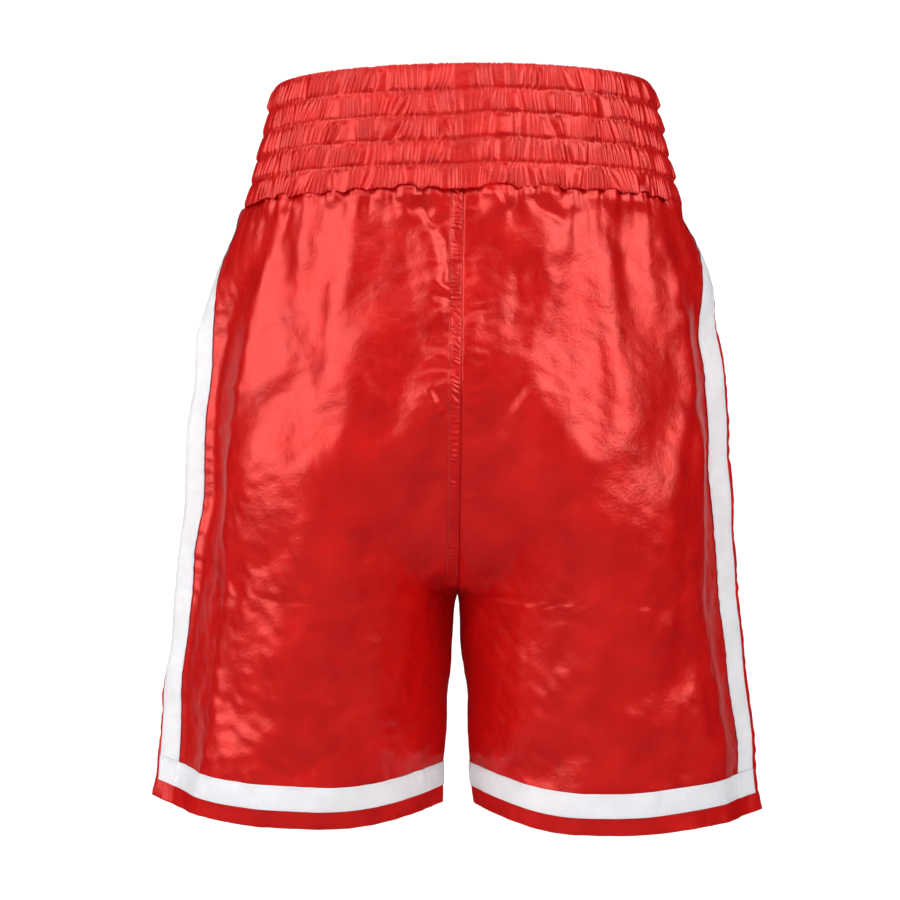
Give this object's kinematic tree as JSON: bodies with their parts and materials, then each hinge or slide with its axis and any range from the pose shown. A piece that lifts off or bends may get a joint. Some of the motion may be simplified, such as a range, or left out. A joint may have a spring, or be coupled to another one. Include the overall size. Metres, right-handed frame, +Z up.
{
  "type": "boxing shorts",
  "caption": "Loose satin shorts in their worn shape, with a wide gathered elastic waistband and contrasting tape down the sides and round the hems.",
  "frame": {"origin": "centre of the waist opening, level with the waistband's top edge at the side seams", "axes": "+Z up out of the waist opening, the wearer's front faces -Y, and +X is the wearer's left"},
  "size_m": [0.485, 0.2484, 0.589],
  "materials": {
    "red_satin": "polyester satin, shiny side out",
    "white_satin": "white satin tape",
    "red_thread": "polyester sewing thread",
    "white_thread": "polyester sewing thread",
    "elastic_web": "woven elastic",
    "label_cloth": "blank woven label"
  },
  "bodies": {
    "root": {"back_centre_stitch_edge": "red_thread", "back_centre_stitch_fell": "red_thread", "back_panel_left": "red_satin", "back_panel_right": "red_satin", "care_label": "label_cloth", "front_centre_stitch_edge": "red_thread", "front_centre_stitch_fell": "red_thread", "front_panel_left": "red_satin", "front_panel_right": "red_satin", "hem_tape_back_left": "white_satin", "hem_tape_back_right": "white_satin", "hem_tape_front_left": "white_satin", "hem_tape_front_right": "white_satin", "hem_tape_stitch_inner_back_left": "white_thread", "hem_tape_stitch_inner_back_right": "white_thread", "hem_tape_stitch_inner_front_left": "white_thread", "hem_tape_stitch_inner_front_right": "white_thread", "hem_tape_stitch_outer_back_left": "white_thread", "hem_tape_stitch_outer_back_right": "white_thread", "hem_tape_stitch_outer_front_left": "white_thread", "hem_tape_stitch_outer_front_right": "white_thread", "inseam_overlock_left": "red_thread", "inseam_overlock_right": "red_thread", "side_seam_overlock_left": "red_thread", "side_seam_overlock_right": "red_thread", "side_tape_back_left": "white_satin", "side_tape_back_right": "white_satin", "side_tape_front_left": "white_satin", "side_tape_front_right": "white_satin", "side_tape_stitch_inner_back_left": "white_thread", "side_tape_stitch_inner_back_right": "white_thread", "side_tape_stitch_inner_front_left": "white_thread", "side_tape_stitch_inner_front_right": "white_thread", "side_tape_stitch_outer_back_left": "white_thread", "side_tape_stitch_outer_back_right": "white_thread", "side_tape_stitch_outer_front_left": "white_thread", "side_tape_stitch_outer_front_right": "white_thread", "waist_elastic": "elastic_web", "waist_seam_stitch": "red_thread", "waistband_casing": "red_satin", "waistband_stitch_row_1": "red_thread", "waistband_stitch_row_2": "red_thread", "waistband_stitch_row_3": "red_thread", "waistband_stitch_row_4": "red_thread"}
  },
  "joints": []
}
